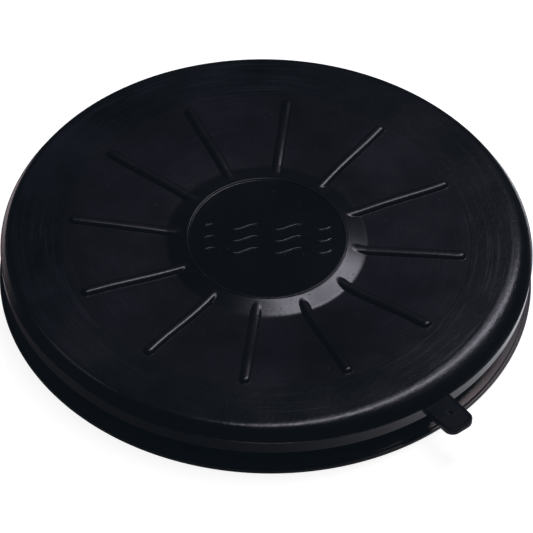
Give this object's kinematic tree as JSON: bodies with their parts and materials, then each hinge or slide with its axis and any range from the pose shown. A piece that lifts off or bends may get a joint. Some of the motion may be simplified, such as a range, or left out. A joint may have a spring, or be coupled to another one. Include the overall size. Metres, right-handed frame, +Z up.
{
  "type": "round kayak hatch cover with deck rim",
  "caption": "Round black rubber kayak hatch cover with radial ribs, a raised centre boss and a pull tab, snapped over its plastic deck rim.",
  "frame": {"origin": "bottom centre of the object's box, on the plane of the deck; the axis of the round parts is 9.8 mm behind it", "axes": "+Z up through the cover, -Y towards the pull tab, +X to the right as seen from the tab"},
  "size_m": [0.272, 0.2916, 0.0294],
  "materials": {
    "rim_plastic": "moulded black plastic, satin",
    "soft_rubber": "moulded soft rubber, satin, faint scuffs",
    "hard_rubber": "moulded hard rubber, satin",
    "gloss_rubber": "polished mould face, glossy",
    "tab_rubber": "moulded soft rubber, satin"
  },
  "bodies": {
    "rim": {"deck_rim": "rim_plastic"},
    "cover": {"edge_ring": "soft_rubber", "centre_panel": "hard_rubber", "badge_disc": "gloss_rubber"},
    "tab": {"pull_tab": "tab_rubber"}
  },
  "joints": [
    {"name": "cover_lift", "type": "slide", "parent": "rim", "child": "cover", "axis": [0, 0, 1], "range_m": [0, 0.08]},
    {"name": "tab_flex", "type": "hinge", "parent": "cover", "child": "tab", "pos_m": [0, -0.1297, 0.0193], "axis": [-1, 0, 0], "range_deg": [-20, 75], "stiffness_Nm_per_rad": 0.05}
  ]
}
